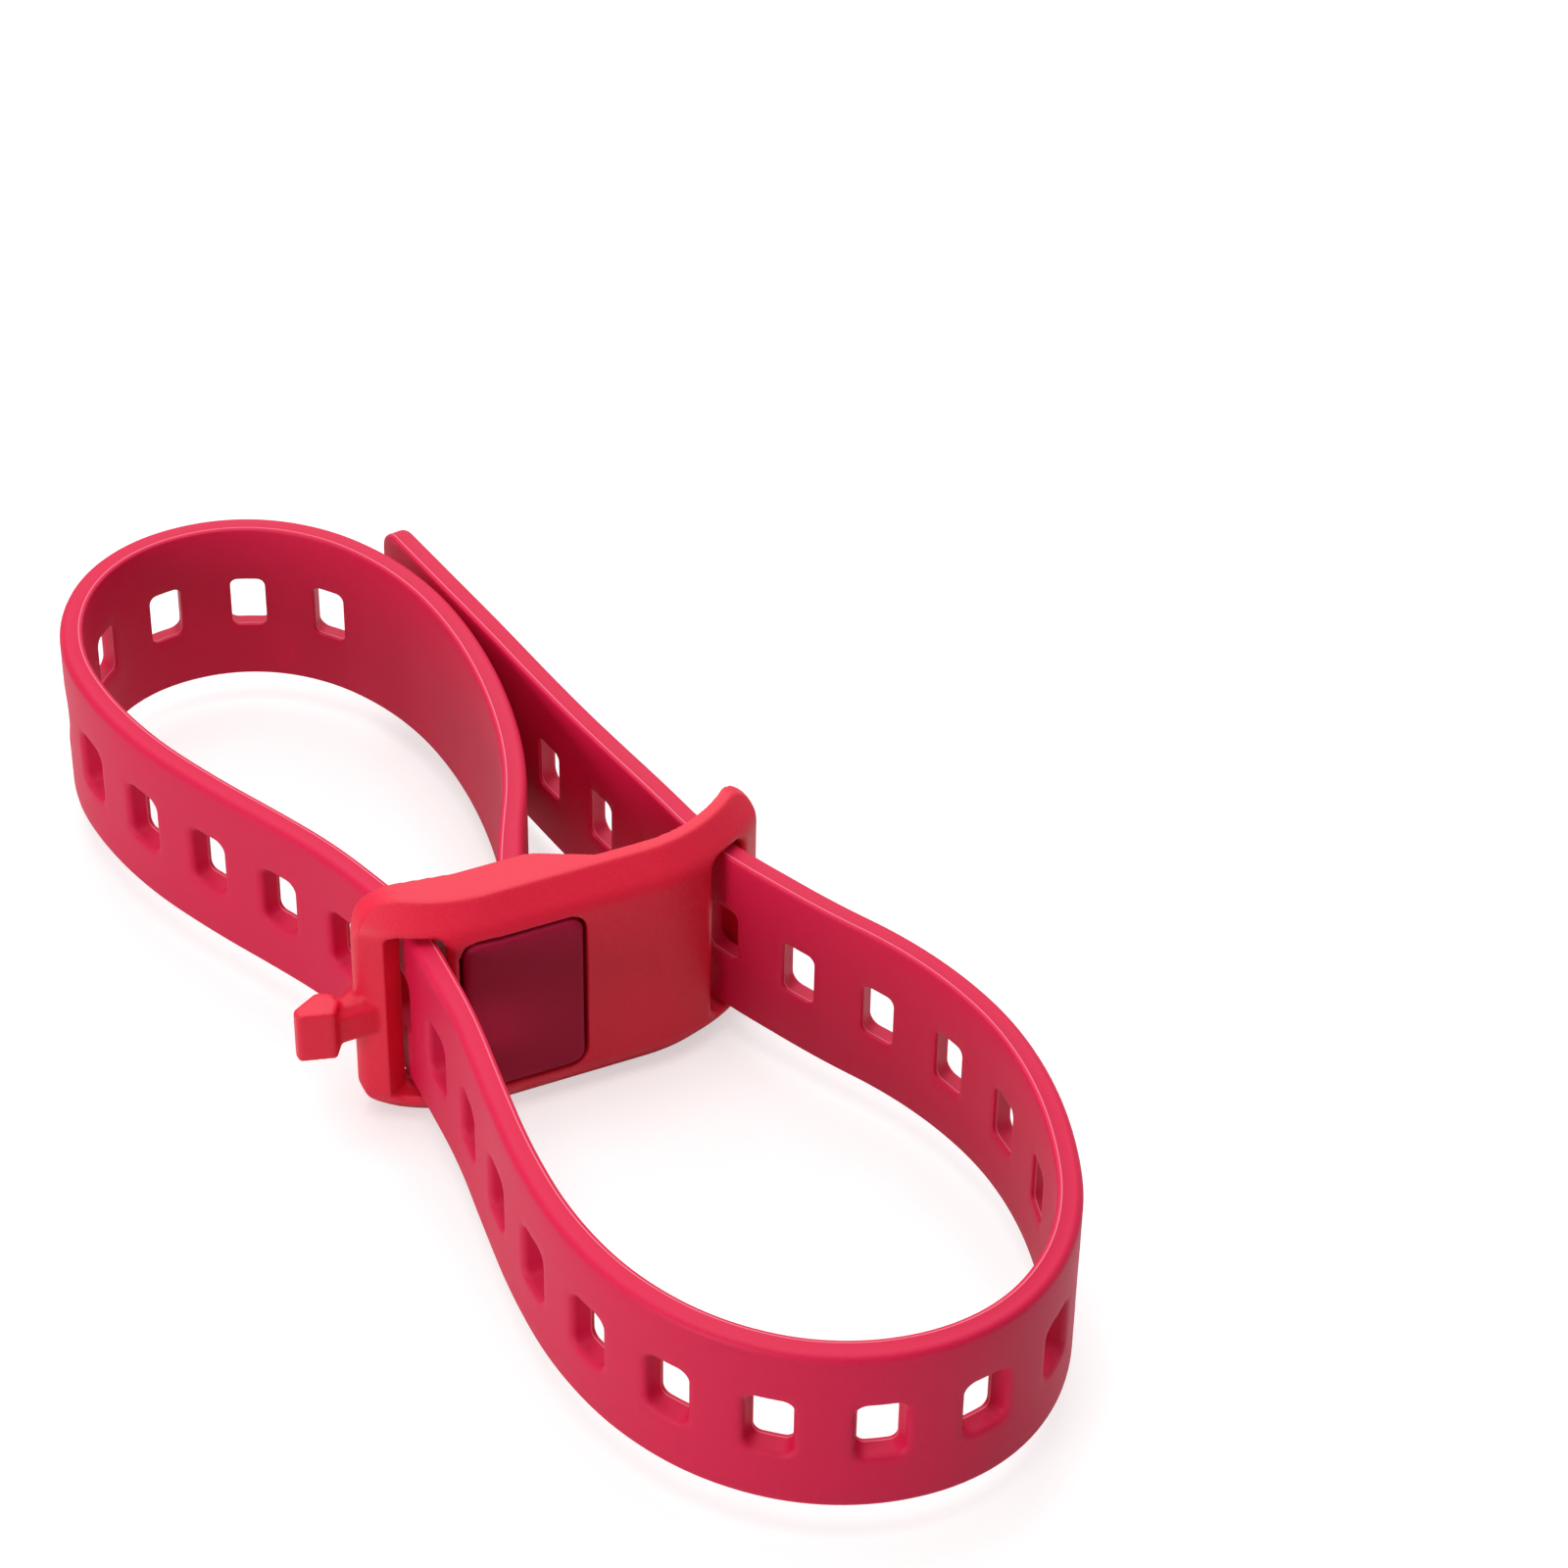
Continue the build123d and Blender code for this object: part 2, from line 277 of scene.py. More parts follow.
def path_curve(points):
    """The centre line as a curve for the nodes to follow."""
    data = bpy.data.curves.new("centre_line", "CURVE")
    data.dimensions = "3D"
    spline = data.splines.new("POLY")
    spline.points.add(len(points) - 1)
    for knot, point in zip(spline.points, points):
        knot.co = (*point, 1)
    curve = bpy.data.objects.new("centre_line", data)
    bpy.context.scene.collection.objects.link(curve)
    return curve


# ---------------------------------------------------------------- cells of the strap

# faces along a cell, across it, and in half of a hole's corner
ALONG = 10
ACROSS = 12
CORNER = 3
# the mould line's distance from the rounded inner edge, and half its width
PARTING_SETBACK = 0.14 * MM
PARTING_HALF = 0.09 * MM
# rounding of a hole's rim on the inner face
INNER_RIM = 0.12 * MM
# where the rings of a flat face lie between a cell's border and its hole
RING_SHARES = (0.0, 0.4, 0.75)
# vertices closer than this become one
WELD = 0.005 * MM


def quarter_turn(steps):
    """The angles that divide a quarter turn into steps."""
    return [math.pi / 2 * step / steps for step in range(steps + 1)]


def parting_height(sizes):
    """Where the mould line lies through the strap's thickness, on its edges and in its holes."""
    return -sizes.thickness / 2 + sizes.inner_round + PARTING_SETBACK


def section_edge(sizes):
    """The strap's rounded edge from its outer face to its inner face: (across, through) pairs."""
    half_t = sizes.thickness / 2
    outer, inner = sizes.outer_round, sizes.inner_round
    line = parting_height(sizes)
    points = [
        (HALF_WIDTH - outer + outer * math.sin(a), half_t - outer + outer * math.cos(a))
        for a in quarter_turn(5)
    ]
    points += [
        (HALF_WIDTH, line + PARTING_HALF),
        (HALF_WIDTH + sizes.parting_line, line),
        (HALF_WIDTH, line - PARTING_HALF),
    ]
    points += [
        (HALF_WIDTH - inner + inner * math.cos(a), -half_t + inner - inner * math.sin(a))
        for a in quarter_turn(4)
    ]
    return points


def side_points(count, low, high):
    """Points at equal steps from one corner towards the next, without the last one."""
    return [low + (high - low) * (i / count) for i in range(count)]


def frame_ring(half_length, half_width):
    """A rectangle as a ring of points, counter-clockwise from its lower left corner."""
    a, b = half_length, half_width
    corners = [Vector((-a, -b)), Vector((a, -b)), Vector((a, b)), Vector((-a, b))]
    ring = []
    for i, steps in enumerate((ALONG, ACROSS, ALONG, ACROSS)):
        ring += side_points(steps, corners[i], corners[(i + 1) % 4])
    return ring


def hole_ring(half_length, half_width, corner):
    """A rounded rectangle as a ring that matches frame_ring point for point."""
    ring = []
    turns = [(-1, -1, 225), (1, -1, 315), (1, 1, 45), (-1, 1, 135)]
    for i, steps in enumerate((ALONG, ACROSS, ALONG, ACROSS)):
        sx, sy, middle = turns[i]
        nx, ny, _ = turns[(i + 1) % 4]
        centre = Vector((sx * (half_length - corner), sy * (half_width - corner)))
        after = Vector((nx * (half_length - corner), ny * (half_width - corner)))
        half_arc = [
            centre + heading(middle + 45 * k / CORNER) * corner for k in range(CORNER + 1)
        ]
        next_arc = [
            after + heading(middle + 45 + 45 * k / CORNER) * corner for k in range(CORNER)
        ]
        straight = steps - 2 * CORNER
        run = side_points(straight, half_arc[-1], next_arc[0])[1:]
        ring += half_arc + run + next_arc
    return ring


def add_ring(bm, ring, height):
    """Vertices of one ring at a height through the strap."""
    return [bm.verts.new((p.x, p.y, height)) for p in ring]


def bridge(bm, first, second, closed=True):
    """Quads between two rings of equal count, facing the first ring's left."""
    count = len(first)
    for i in range(count if closed else count - 1):
        j = (i + 1) % count
        bm.faces.new((first[i], first[j], second[j], second[i]))


def add_edges(bm, sizes, xs):
    """Both rounded edges of the strap between the given stations along it."""
    profile = section_edge(sizes)
    for side in (1, -1):
        rows = [[bm.verts.new((x, side * y, z)) for x in xs] for y, z in profile]
        for upper, lower in zip(rows, rows[1:]):
            if side > 0:
                bridge(bm, lower, upper, closed=False)
            else:
                bridge(bm, upper, lower, closed=False)


def mesh_from(bm, name):
    """The finished work as a mesh."""
    mesh = bpy.data.meshes.new(name)
    bm.to_mesh(mesh)
    bm.free()
    return mesh


def finish_cell(bm, name, sizes):
    """Weld a cell, flag its mould line for the material's painted highlight, and make it a mesh."""
    bmesh.ops.remove_doubles(bm, verts=bm.verts, dist=WELD)
    # flag the vertices on the mould line's ridge, where the material paints a pale highlight
    line = bm.verts.layers.float.new("mould_line")
    for vert in bm.verts:
        vert[line] = float(abs(vert.co.z - parting_height(sizes)) < 2 * WELD)
    return mesh_from(bm, name)


def hole_profile(sizes):
    """A hole's wall from the outer face to the inner face: (growth, height through) pairs."""
    half_t, rim, draft = sizes.thickness / 2, sizes.hole_rim, sizes.hole_draft
    line = parting_height(sizes)
    points = [
        (draft + rim * (1 - math.sin(a)), half_t - rim * (1 - math.cos(a)))
        for a in quarter_turn(4)
    ]
    points += [(0.0, line + PARTING_HALF), (-sizes.parting_line, line), (0.0, line - PARTING_HALF)]
    points += [
        (INNER_RIM * (1 - math.cos(a)), -half_t + INNER_RIM * (1 - math.sin(a)))
        for a in quarter_turn(2)
    ]
    return points


def perforated_cell(sizes):
    """One pitch of strap round its hole, open at both ends, centred on the hole."""
    bm = bmesh.new()
    half_t, half_p = sizes.thickness / 2, sizes.pitch / 2
    wall = [
        (hole_ring(sizes.hole_length / 2 + grow, sizes.hole_width / 2 + grow,
                   sizes.hole_corner + grow), height)
        for grow, height in hole_profile(sizes)
    ]

    def face_rings(edge, height, inside):
        """Rings on a flat face, from its border in to its hole."""
        pairs = list(zip(frame_ring(half_p, HALF_WIDTH - edge), inside))
        return [([p.lerp(q, share) for p, q in pairs], height) for share in RING_SHARES]

    rings = face_rings(sizes.outer_round, half_t, wall[0][0]) + wall
    rings += reversed(face_rings(sizes.inner_round, -half_t, wall[-1][0]))
    loops = [add_ring(bm, ring, height) for ring, height in rings]
    for first, second in zip(loops, loops[1:]):
        bridge(bm, first, second)
    add_edges(bm, sizes, [-half_p + sizes.pitch * i / ALONG for i in range(ALONG + 1)])
    return finish_cell(bm, "perforated_cell", sizes)


def plain_cell(sizes):
    """One pitch of strap with no hole, open at both ends."""
    bm = bmesh.new()
    half_t, half_p = sizes.thickness / 2, sizes.pitch / 2
    xs = [-half_p + sizes.pitch * i / ALONG for i in range(ALONG + 1)]
    for side, edge in ((1, sizes.outer_round), (-1, sizes.inner_round)):
        reach = HALF_WIDTH - edge
        ys = [side * (-reach + 2 * reach * i / ACROSS) for i in range(ACROSS + 1)]
        rows = [[bm.verts.new((x, y, side * half_t)) for x in xs] for y in ys]
        for lower, upper in zip(rows, rows[1:]):
            bridge(bm, lower, upper, closed=False)
    add_edges(bm, sizes, xs)
    return finish_cell(bm, "plain_cell", sizes)


def tip_outline(length, inset, corner):
    """The tail's rounded end as a run of points from one side round to the other."""
    r = corner - inset
    end, side = length - inset, HALF_WIDTH - inset
    points = [Vector((0, -side))]
    for centre_y, start in ((-(side - r), -90), (side - r, 0)):
        for turn in range(0, 91, 15):
            points.append(Vector((end - r, centre_y)) + heading(start + turn) * r)
    points.append(Vector((0, side)))
    return points


def tip_cell(sizes, length):
    """The tail's closed tip: flat faces, a rounded edge all the way round, open at its start."""
    bm = bmesh.new()
    rows = []
    for across, through in section_edge(sizes):
        outline = tip_outline(length, HALF_WIDTH - across, sizes.tip_corner)
        rows.append(add_ring(bm, outline, through))
    for upper, lower in zip(rows, rows[1:]):
        bridge(bm, lower, upper, closed=False)
    # the flat faces start with the same points as the cell that they are welded to
    outer, inner = [
        row + [bm.verts.new(row[-1].co.lerp(row[0].co, i / ACROSS)) for i in range(1, ACROSS)]
        for row in (rows[0], rows[-1])
    ]
    bm.faces.new(outer)
    bm.faces.new(list(reversed(inner)))
    return finish_cell(bm, "tip_cell", sizes)


# ---------------------------------------------------------------- nodes that repeat and bend

class Tree:
    """A geometry node tree with named inputs, built a node at a time."""

    def __init__(self, name, inputs):
        self.group = bpy.data.node_groups.new(name, "GeometryNodeTree")
        face = self.group.interface
        face.new_socket("Geometry", in_out="INPUT", socket_type="NodeSocketGeometry")
        for label, kind in inputs:
            face.new_socket(label, in_out="INPUT", socket_type=f"NodeSocket{kind}")
        face.new_socket("Geometry", in_out="OUTPUT", socket_type="NodeSocketGeometry")
        self.given = self.group.nodes.new("NodeGroupInput").outputs
        self.output = self.group.nodes.new("NodeGroupOutput")

    def put(self, socket, value):
        """Link a socket or set its value."""
        if isinstance(value, bpy.types.NodeSocket):
            self.group.links.new(value, socket)
        else:
            socket.default_value = value

    def node(self, kind, settings=None, **sockets):
        """A node with its settings, then its sockets' values or links; _ stands for a space."""
        made = self.group.nodes.new(kind)
        for key, value in (settings or {}).items():
            setattr(made, key, value)
        for key, value in sockets.items():
            self.put(made.inputs[key.replace("_", " ")], value)
        return made

    def maths(self, kind, operation, *values):
        """The result of a Math or Vector Math node on values in order."""
        made = self.node(kind, {"operation": operation})
        for socket, value in zip(made.inputs, values):
            self.put(socket, value)
        return made.outputs[0]

    def along_x(self, distance):
        """A vector along X."""
        return self.node("ShaderNodeCombineXYZ", X=distance).outputs[0]

    def mesh_of(self, thing):
        """The geometry of an object."""
        return self.node("GeometryNodeObjectInfo", Object=thing).outputs["Geometry"]

    def finish(self, geometry, material):
        """One material on the geometry, as the tree's result."""
        painted = self.node("GeometryNodeSetMaterial", Geometry=geometry, Material=material)
        self.put(self.output.inputs[0], painted.outputs[0])


STRAP_INPUTS = [
    ("Hole count", "Int"), ("Hole pitch", "Float"), ("First hole", "Float"),
    ("Plain count", "Int"), ("Plain pitch", "Float"), ("First plain", "Float"),
    ("Plain cell", "Object"), ("End piece", "Object"), ("End place", "Float"),
    ("Path", "Object"), ("Neck growth", "Float"), ("Neck end", "Float"),
    ("Surface", "Material"),
]


def row_of(tree, cell, count, spacing, first, stretch=1.0):
    """A row of one cell, count times along X, the first at a given distance."""
    line = tree.node(
        "GeometryNodeMeshLine", {"mode": "OFFSET"}, Count=count,
        Start_Location=tree.along_x(first), Offset=tree.along_x(spacing),
    )
    scale = tree.node("ShaderNodeCombineXYZ", X=stretch, Y=1.0, Z=1.0)
    row = tree.node(
        "GeometryNodeInstanceOnPoints", Points=line.outputs[0], Instance=cell,
        Scale=scale.outputs[0],
    )
    return row.outputs[0]


def flat_strap(tree):
    """The cells and the end piece in a row along X, welded."""
    given = tree.given
    holes = row_of(
        tree, given["Geometry"], given["Hole count"], given["Hole pitch"], given["First hole"]
    )
    stretch = tree.maths("ShaderNodeMath", "DIVIDE", given["Plain pitch"], given["Hole pitch"])
    plain = row_of(
        tree, tree.mesh_of(given["Plain cell"]), given["Plain count"], given["Plain pitch"],
        given["First plain"], stretch,
    )
    end = tree.node(
        "GeometryNodeTransform", Geometry=tree.mesh_of(given["End piece"]),
        Translation=tree.along_x(given["End place"]),
    )
    joined = tree.node("GeometryNodeJoinGeometry")
    for piece in (end.outputs[0], plain, holes):
        tree.put(joined.inputs[0], piece)
    real = tree.node("GeometryNodeRealizeInstances", Geometry=joined.outputs[0])
    welded = tree.node(
        "GeometryNodeMergeByDistance", Geometry=real.outputs[0], Distance=2 * WELD
    )
    return welded.outputs[0]


def bent_strap_tree(name):
    """The flat strap, thickened at the root and bent along the centre line."""
    tree = Tree(name, STRAP_INPUTS)
    given = tree.given
    place = tree.node("GeometryNodeInputPosition").outputs[0]
    flat = tree.node("ShaderNodeSeparateXYZ", Vector=place).outputs
    line = tree.node(
        "GeometryNodeSampleCurve", {"mode": "LENGTH"},
        Curves=tree.mesh_of(given["Path"]), Length=flat["X"],
    ).outputs
    side = tree.maths("ShaderNodeVectorMath", "CROSS_PRODUCT", line["Tangent"], (0, 0, 1))
    outward = tree.maths("ShaderNodeVectorMath", "NORMALIZE", side)
    growth = tree.node(
        "ShaderNodeMapRange", {"interpolation_type": "SMOOTHSTEP"},
        Value=flat["X"], From_Min=0.0, From_Max=given["Neck end"],
        To_Min=given["Neck growth"], To_Max=0.0,
    )
    through = tree.maths(
        "ShaderNodeMath", "MULTIPLY_ADD", growth.outputs[0], flat["Z"], flat["Z"]
    )
    outwards = tree.node("ShaderNodeVectorMath", {"operation": "SCALE"}, Scale=through)
    tree.put(outwards.inputs[0], outward)
    across = tree.node("ShaderNodeCombineXYZ", Z=flat["Y"]).outputs[0]
    bent = tree.node(
        "GeometryNodeSetPosition", Geometry=flat_strap(tree), Position=line["Position"],
        Offset=tree.maths("ShaderNodeVectorMath", "ADD", outwards.outputs[0], across),
    )
    smooth = tree.node("GeometryNodeSetShadeSmooth", Geometry=bent.outputs[0])
    tree.finish(smooth.outputs[0], given["Surface"])
    return tree.group


def run_tree(name, mesh, group, values):
    """A plain mesh object made by a node tree from a starting mesh."""
    source = new_object(name + "_cell", mesh)
    modifier = source.modifiers.new("nodes", "NODES")
    modifier.node_group = group
    names = {s.name: s.identifier for s in group.interface.items_tree if s.in_out == "INPUT"}
    for label, value in values.items():
        modifier[names[label]] = value
    source.update_tag()
    bpy.context.view_layer.update()
    graph = bpy.context.evaluated_depsgraph_get()
    result = bpy.data.meshes.new_from_object(source.evaluated_get(graph))
    source.modifiers.clear()
    bpy.data.objects.remove(source)
    if not result.polygons:
        raise RuntimeError(f"{name}: the nodes made nothing")
    return new_object(name, result)


def new_object(name, mesh):
    """A mesh object in the scene, at the origin, unturned."""
    mesh.name = name
    made = bpy.data.objects.new(name, mesh)
    bpy.context.scene.collection.objects.link(made)
    return made


def face_outwards(bm):
    """Make all faces smooth and turn them outwards."""
    bmesh.ops.recalc_face_normals(bm, faces=bm.faces)
    for face in bm.faces:
        face.smooth = True


def close_ends(obj):
    """Cap the open ends of a bent strap and make its faces point outwards."""
    bm = bmesh.new()
    bm.from_mesh(obj.data)
    open_edges = [e for e in bm.edges if e.is_boundary]
    bmesh.ops.holes_fill(bm, edges=open_edges, sides=0)
    face_outwards(bm)
    bm.to_mesh(obj.data)
    bm.free()


# ---------------------------------------------------------------- materials

# a pale colour painted along the mould line's modelled ridge: a painted highlight for the light the
# thin flash catches, and how much of it goes in
MOULD_LINE_HIGHLIGHT_COLOUR = (0.90, 0.26, 0.34, 1)
MOULD_LINE_HIGHLIGHT_SHARE = 0.8
# scales of the flow mottling and of the grain, per metre, and the grain's depth
FLOW_SCALE = 90.0
GRAIN_SCALE = 3200.0
GRAIN_DEPTH = 0.04 * MM
# how strongly the mottling and the grain change the tint and the roughness
TINT_SHARES = (0.5, 0.9)
GLOSS_SHARES = (0.12, 0.10)
# the deepest and the palest tint, as shares of the colour, and the white added to the palest
DEEPEST, PALEST, BLOOM = 0.90, 1.08, 0.005


class Value:
    """A number socket that adds its own Math nodes when used in an expression."""

    def __init__(self, shader, socket):
        self.shader, self.socket = shader, socket

    def _math(self, operation, first, second):
        return self.shader.math(operation, first, second)

    def __add__(self, other):
        return self._math("ADD", self, other)

    def __sub__(self, other):
        return self._math("SUBTRACT", self, other)

    def __rsub__(self, other):
        return self._math("SUBTRACT", other, self)

    def __mul__(self, other):
        return self._math("MULTIPLY", self, other)

    __radd__ = __add__
    __rmul__ = __mul__


class Shader:
    """The node tree of a material or a world, and the few ways this script adds to it."""

    def __init__(self, owner):
        owner.use_nodes = True
        self.tree = owner.node_tree
        self.tree.nodes.clear()

    def add(self, kind, settings=None, sockets=None):
        """A node with its settings first, then values or links for its sockets."""
        node = self.tree.nodes.new(kind)
        for key, value in (settings or {}).items():
            setattr(node, key, value)
        for key, value in (sockets or {}).items():
            self.put(node.inputs[key], value)
        return node

    def put(self, socket, value):
        """Link a socket or set its value."""
        value = value.socket if isinstance(value, Value) else value
        if isinstance(value, bpy.types.NodeSocket):
            self.tree.links.new(value, socket)
        else:
            socket.default_value = value

    def math(self, operation, first, second):
        """A Math node on two numbers."""
        node = self.add("ShaderNodeMath", {"operation": operation}, {0: first, 1: second})
        return Value(self, node.outputs[0])

    def noise(self, scale, detail, roughness):
        """Noise on object coordinates, in metres."""
        place = self.add("ShaderNodeTexCoord").outputs["Object"]
        node = self.add(
            "ShaderNodeTexNoise", None,
            {"Vector": place, "Scale": scale, "Detail": detail, "Roughness": roughness},
        )
        return Value(self, node.outputs["Fac"])

    def mix(self, share, first, second):
        """Two colours mixed by a share."""
        node = self.add(
            "ShaderNodeMix", {"data_type": "RGBA"}, {0: share, 6: first, 7: second}
        )
        return node.outputs[2]


def moulded(name, colour, roughness, specular, grain, with_line_highlight=False):
    """A moulded surface: faint flow mottling, uneven gloss, a fine grain and any mould line painted
    pale as a highlight.
    """
    material = bpy.data.materials.new(name)
    shader = Shader(material)
    cloud = shader.noise(FLOW_SCALE, 3.0, 0.5)
    speck = shader.noise(GRAIN_SCALE, 2.0, 0.7)

    def uneven(middle, shares):
        """A value that wanders round its middle with the mottling and the grain."""
        return (cloud - 0.5) * shares[0] + (speck - 0.5) * shares[1] + middle

    deep = tuple(c * DEEPEST for c in colour[:3]) + (1,)
    pale = tuple(min(1, c * PALEST + BLOOM) for c in colour[:3]) + (1,)
    tint = shader.mix(uneven(0.5, TINT_SHARES), deep, pale)
    # paint a pale highlight along the mould line's ridge
    if with_line_highlight:
        highlight_mask = shader.add("ShaderNodeAttribute", {"attribute_name": "mould_line"})
        share = Value(shader, highlight_mask.outputs["Fac"]) * MOULD_LINE_HIGHLIGHT_SHARE
        tint = shader.mix(share, tint, MOULD_LINE_HIGHLIGHT_COLOUR)
    bump = shader.add(
        "ShaderNodeBump", None, {"Strength": grain, "Distance": GRAIN_DEPTH, "Height": speck}
    )
    skin = shader.add(
        "ShaderNodeBsdfPrincipled", None,
        {"Base Color": tint, "Roughness": uneven(roughness, GLOSS_SHARES),
         "Normal": bump.outputs[0], "Specular IOR Level": specular},
    )
    shader.add("ShaderNodeOutputMaterial", None, {"Surface": skin.outputs[0]})
    return material


# ---------------------------------------------------------------- pieces

# plan corners, in millimetres, of what is cut off the left slot's outer wall towards the front
SLOT_WEDGE = [(-17.0, 0.9), (-20.1, -1.3), (-18.4, -2.2), (-16.5, -0.5)]
# space above and below the strap in a slot
SLOT_ROOM = 0.7 * MM
# how closely the seams of the solid's faces are joined before it is softened
SEAM = 0.002 * MM


def slot_wedge():
    """A block that slopes the left slot's outer wall further out towards the front."""
    bm = bmesh.new()
    half_height = HALF_WIDTH + SLOT_ROOM
    base = [bm.verts.new((x * MM, y * MM, MID_Z - half_height)) for x, y in SLOT_WEDGE]
    side = bmesh.ops.extrude_face_region(bm, geom=[bm.faces.new(base)])
    raised = [part for part in side["geom"] if isinstance(part, bmesh.types.BMVert)]
    bmesh.ops.translate(bm, verts=raised, vec=(0, 0, 2 * half_height))
    bmesh.ops.recalc_face_normals(bm, faces=bm.faces)
    return helper("slot_wedge", mesh_from(bm, "slot_wedge"))


def joined_solid(node):
    """The mesh of one solid, with its faces joined along their seams."""
    bm = bmesh.new()
    bm.from_mesh(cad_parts[node].data)
    bmesh.ops.remove_doubles(bm, verts=bm.verts, dist=SEAM)
    return mesh_from(bm, node)


def soften(piece, wedge, sizes):
    """Cut a wedge out of a piece and round its edges a little."""
    slope = piece.modifiers.new("slope", "BOOLEAN")
    slope.object, slope.operation, slope.solver = wedge, "DIFFERENCE", "EXACT"
    skin = piece.modifiers.new("skin", "REMESH")
    skin.mode, skin.voxel_size, skin.use_smooth_shade = "VOXEL", sizes.face_size, True
    rounding = piece.modifiers.new("rounding", "SMOOTH")
    rounding.factor, rounding.iterations = 0.5, sizes.softening
    graph = bpy.context.evaluated_depsgraph_get()
    piece.data = bpy.data.meshes.new_from_object(piece.evaluated_get(graph))
    piece.modifiers.clear()


class PLATE_OT_build(bpy.types.Operator):
    """Make the buckle plate and its hook from a softened copy of the solid"""

    bl_idname = "luggage_strap.plate"
    bl_label = "Build buckle plate"

    def execute(self, context):
        sizes = context.scene.plate_sizes
        plate = new_object("buckle_plate_moulding", joined_solid("buckle_plate"))
        wedge = slot_wedge()
        soften(plate, wedge, sizes)
        bpy.data.objects.remove(wedge)
        plate.data.materials.clear()
        plate.data.materials.append(
            moulded("plate_plastic", sizes.colour, roughness=0.46, specular=0.36, grain=0.9)
        )
        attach(plate, "buckled_strap")
        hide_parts("buckle_plate")
        return {"FINISHED"}


def strap_surface(sizes):
    """The strap's elastomer, shared by its band and its tail."""
    found = bpy.data.materials.get("strap_elastomer")
    return found or moulded(
        "strap_elastomer", sizes.colour, roughness=0.54, specular=0.28, grain=0.30, with_line_highlight=True
    )


def helper(name, mesh):
    """An object that only feeds the nodes or a cut."""
    made = new_object(name, mesh)
    made.hide_render = True
    return made


def build_strap(context, name, first, count, plain_from, end_mesh, end_place):
    """One run of the strap: plain strap from a distance to its first hole, and an end after it."""
    sizes = context.scene.strap_sizes
    path = path_curve(LINE)
    plain = helper("plain_source", plain_cell(sizes))
    end = helper("end_source", end_mesh)
    first_hole = hole_distance(first, sizes.pitch)
    plain_length = first_hole - sizes.pitch / 2 - plain_from
    plain_count = max(1, round(plain_length / sizes.pitch))
    plain_pitch = plain_length / plain_count
    values = {
        "Hole count": count, "Hole pitch": sizes.pitch, "First hole": first_hole,
        "Plain count": plain_count, "Plain pitch": plain_pitch,
        "First plain": plain_from + plain_pitch / 2,
        "Plain cell": plain, "End piece": end, "End place": end_place, "Path": path,
        "Neck growth": sizes.neck_growth, "Neck end": sizes.neck_length,
        "Surface": strap_surface(sizes),
    }
    piece = run_tree(name, perforated_cell(sizes), bent_strap_tree(name + "_nodes"), values)
    for extra in (path, plain, end):
        bpy.data.objects.remove(extra)
    close_ends(piece)
    return piece


class BAND_OT_build(bpy.types.Operator):
    """Make the strap's fixed run: neck, small loop, large loop and the passes through the slots"""

    bl_idname = "luggage_strap.band"
    bl_label = "Build strap band"

    def execute(self, context):
        empty = bpy.data.meshes.new("no_end")
        band = build_strap(context, "strap_band", 0, LAST_HOLE_BEFORE_BEND, 0.0, empty, 0.0)
        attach(band, "buckled_strap")
        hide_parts("strap")
        return {"FINISHED"}


class TAIL_OT_build(bpy.types.Operator):
    """Make the free tail, bent along the centre line from the right slot to its tip"""

    bl_idname = "luggage_strap.tail"
    bl_label = "Build strap tail"

    def execute(self, context):
        sizes = context.scene.strap_sizes
        first = LAST_HOLE_BEFORE_BEND
        seam = hole_distance(RUN_START, sizes.pitch)
        last_cell = hole_distance(HOLE_COUNT - 0.5, sizes.pitch)
        tip = tip_cell(sizes, LENGTH - last_cell)
        tail = build_strap(
            context, "strap_tail_run", first, HOLE_COUNT - first, seam, tip, last_cell
        )
        start, end = [
            point_along(LINE, hole_distance(first + reach, sizes.pitch)) for reach in BEND_REACH
        ]
        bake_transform(tail)
        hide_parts("strap_tail")
        return {"FINISHED"}


# the head and the plate's bowed front, in millimetres as the solids have them
HEAD_X, HEAD_LENGTH, HEAD_HEIGHT, HEAD_DEPTH = -5.7, 12.6, 19.4, 2.6
HEAD_CORNER, HEAD_RIM, HEAD_PROUD = 1.6, 0.55, 0.2
SMALLEST_CORNER = 0.15
FACE_Y, FACE_RADIUS, FLAT_HALF = -4.2, 19.5, 8.2
# insets of the rings that carry the head's face round the bow
FACE_INSETS = (1.1, 2.4, 4.2, 5.4)


def bowed_front(x):
    """Y of the plate's front face at an X, in millimetres."""
    past = max(0.0, abs(x) - FLAT_HALF)
    return FACE_Y + FACE_RADIUS - math.sqrt(FACE_RADIUS**2 - past**2)


def rounded_ring(length, height, corner, per_side=10, per_corner=6):
    """A rounded rectangle round the origin as a ring of points."""
    ring = []
    places = [(1, -1, 270), (1, 1, 0), (-1, 1, 90), (-1, -1, 180)]
    for i, (sx, sy, start) in enumerate(places):
        centre = Vector((sx * (length / 2 - corner), sy * (height / 2 - corner)))
        arc = [centre + heading(start + 90 * k / per_corner) * corner for k in range(per_corner + 1)]
        nx, ny, _ = places[(i + 1) % 4]
        after = Vector((nx * (length / 2 - corner), ny * (height / 2 - corner)))
        after += heading(start + 90) * corner
        ring += arc + side_points(per_side, arc[-1], after)[1:]
    return ring


def head_steps():
    """The head from its back over its rounded rim to its face: (inset, depth) pairs."""
    rim = [
        (HEAD_RIM * (1 - math.cos(a)), HEAD_RIM * (1 - math.sin(a)) - HEAD_PROUD)
        for a in quarter_turn(5)
    ]
    return [(0.0, HEAD_DEPTH), *rim, *((inset, -HEAD_PROUD) for inset in FACE_INSETS)]


